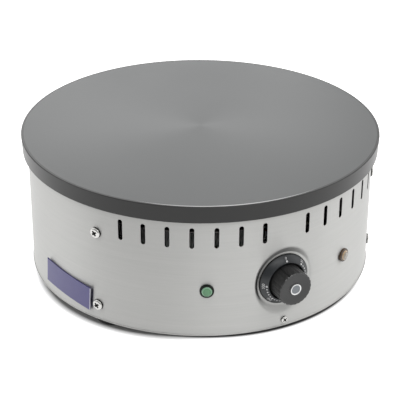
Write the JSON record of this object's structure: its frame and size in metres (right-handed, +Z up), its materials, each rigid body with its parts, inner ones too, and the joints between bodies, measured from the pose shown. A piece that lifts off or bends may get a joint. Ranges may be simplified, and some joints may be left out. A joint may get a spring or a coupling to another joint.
{
  "type": "electric crepe maker",
  "caption": "Round countertop crepe maker: cast-iron griddle plate on a slotted brushed-steel drum with a rotary thermostat knob, pilot lamps and rubber feet.",
  "frame": {"origin": "centre of the footprint, on the surface that the feet stand on", "axes": "+Z up; -Y towards the user, along the knob's axis; +X to the user's right"},
  "size_m": [0.3999, 0.4258, 0.166],
  "materials": {
    "plate_black": "seasoned, fine turned finish",
    "steel_drum": "brushed round the drum",
    "steel_sheet": "mill finish",
    "steel_screw": "bright zinc plated",
    "element_metal": "heat-darkened",
    "ceramic": "matt",
    "insulation": "ceramic fibre board",
    "phenolic": "moulded",
    "copper": "drawn",
    "brass": "bright",
    "dial_black": "semi-gloss print",
    "knob_black": "fine moulded texture",
    "cap_silver": "brushed",
    "rubber_black": "matt",
    "lamp_dark_green": "tinted, gloss",
    "lamp_brown": "tinted, gloss",
    "lens_green": "translucent, prismatic",
    "lens_amber": "translucent, prismatic",
    "nylon_black": "moulded",
    "nylon_cream": "moulded",
    "wire_brown": "silicone sleeved",
    "wire_white": "glass-fibre sleeved",
    "wire_blue": "silicone sleeved",
    "nameplate_violet": "satin print, bare of lettering",
    "foam_black": "adhesive foam"
  },
  "bodies": {
    "housing": {"griddle_plate": "plate_black", "plate_bolts": "steel_screw", "plate_washers": "steel_screw", "heating_element": "element_metal", "element_bushes": "ceramic", "element_pins": "steel_screw", "clamp_bars": "steel_sheet", "clamp_studs": "steel_screw", "clamp_nuts": "steel_screw", "insulation_disc": "insulation", "heat_shield": "steel_sheet", "shield_nuts": "steel_screw", "thermostat_body": "phenolic", "thermostat_tabs": "steel_screw", "thermostat_screws": "steel_screw", "capillary_tube": "copper", "thermostat_bulb": "copper", "bulb_clips": "steel_sheet", "bulb_screws": "steel_screw", "dial_plate": "dial_black", "drum_wall": "steel_drum", "upright_left": "steel_sheet", "upright_right": "steel_sheet", "upright_rear": "steel_sheet", "drum_screws": "steel_screw", "base_plate": "steel_sheet", "base_screws": "steel_screw", "foot_left": "rubber_black", "foot_right": "rubber_black", "foot_rear": "rubber_black", "foot_screws": "steel_screw", "foot_nuts": "steel_screw", "green_lamp_body": "lamp_dark_green", "green_lamp_lens": "lens_green", "amber_lamp_body": "lamp_brown", "amber_lamp_lens": "lens_amber", "lamp_nuts": "nylon_black", "terminal_block": "nylon_cream", "block_screws": "steel_screw", "earth_stud": "brass", "earth_nuts": "brass", "gland_body": "nylon_black", "gland_nut": "nylon_black", "gland_seal": "rubber_black", "gland_locknut": "nylon_black", "supply_wires": "wire_brown", "element_leads": "wire_white", "lamp_wires": "wire_blue", "nameplate": "nameplate_violet", "nameplate_pad": "foam_black"},
    "control_knob": {"thermostat_spindle": "steel_screw", "knob": "knob_black", "knob_cap": "cap_silver"}
  },
  "joints": [
    {"name": "knob_turn", "type": "hinge", "parent": "housing", "child": "control_knob", "pos_m": [0, -0.19, 0.0658], "axis": [0, 1, 0], "range_deg": [0, 295]}
  ]
}
